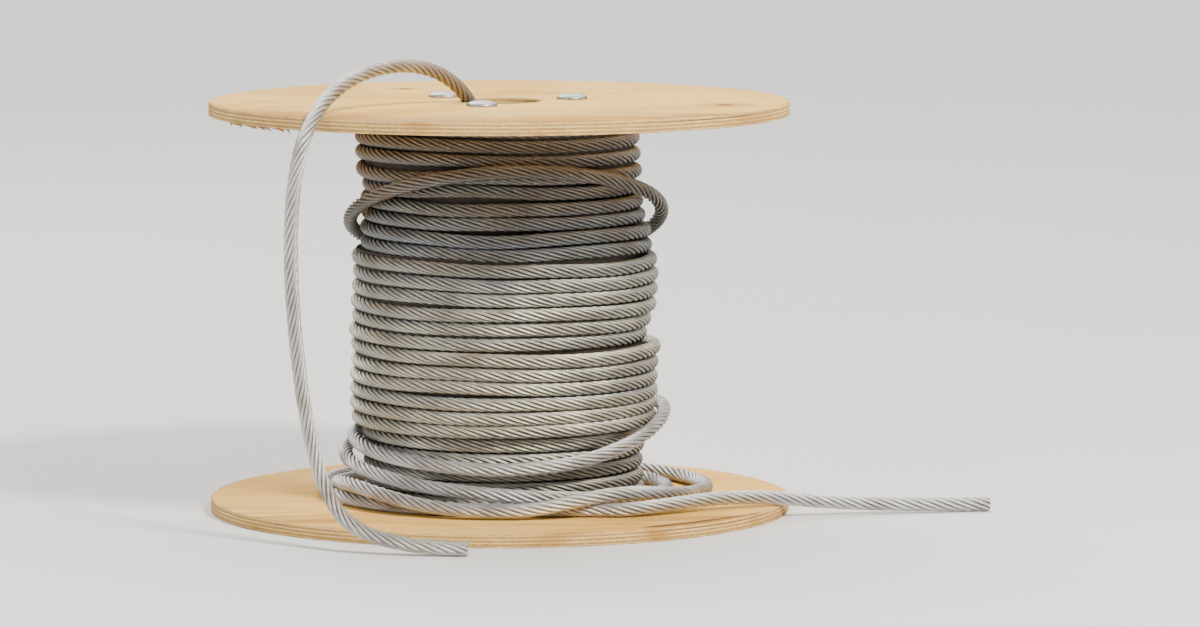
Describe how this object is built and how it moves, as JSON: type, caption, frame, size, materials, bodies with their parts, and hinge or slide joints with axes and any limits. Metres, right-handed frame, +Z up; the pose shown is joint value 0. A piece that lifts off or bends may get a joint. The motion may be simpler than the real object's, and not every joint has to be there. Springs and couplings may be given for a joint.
{
  "type": "wooden cable drum",
  "caption": "Plywood cable drum with two round flanges on a hollow barrel, wound with galvanised wire rope whose two ends hang and lie free.",
  "frame": {"origin": "centre of the bottom flange's underside, on the drum's axis", "axes": "+Z up along the drum's axis, -Y towards the viewer of the picture, +X to that viewer's right"},
  "size_m": [0.6054, 0.4971, 0.356],
  "materials": {
    "plywood": "bare rotary-cut plywood, pale honey, weathered at the edges",
    "fibreboard": "wound fibre tube, brown, matt",
    "zinc_steel": "zinc-plated steel, dulled",
    "wire_rope": "galvanised steel wire rope, dull silver with a brown film"
  },
  "bodies": {
    "root": {"flange_top": "plywood", "flange_bottom": "plywood", "barrel": "fibreboard", "tie_bolt_1": "zinc_steel", "tie_bolt_2": "zinc_steel", "tie_bolt_3": "zinc_steel", "tie_nut_1": "zinc_steel", "tie_nut_2": "zinc_steel", "tie_nut_3": "zinc_steel", "rope_winding": "wire_rope", "rope_slack_turns": "wire_rope", "rope_inner_end": "wire_rope", "rope_outer_end": "wire_rope"}
  },
  "joints": []
}
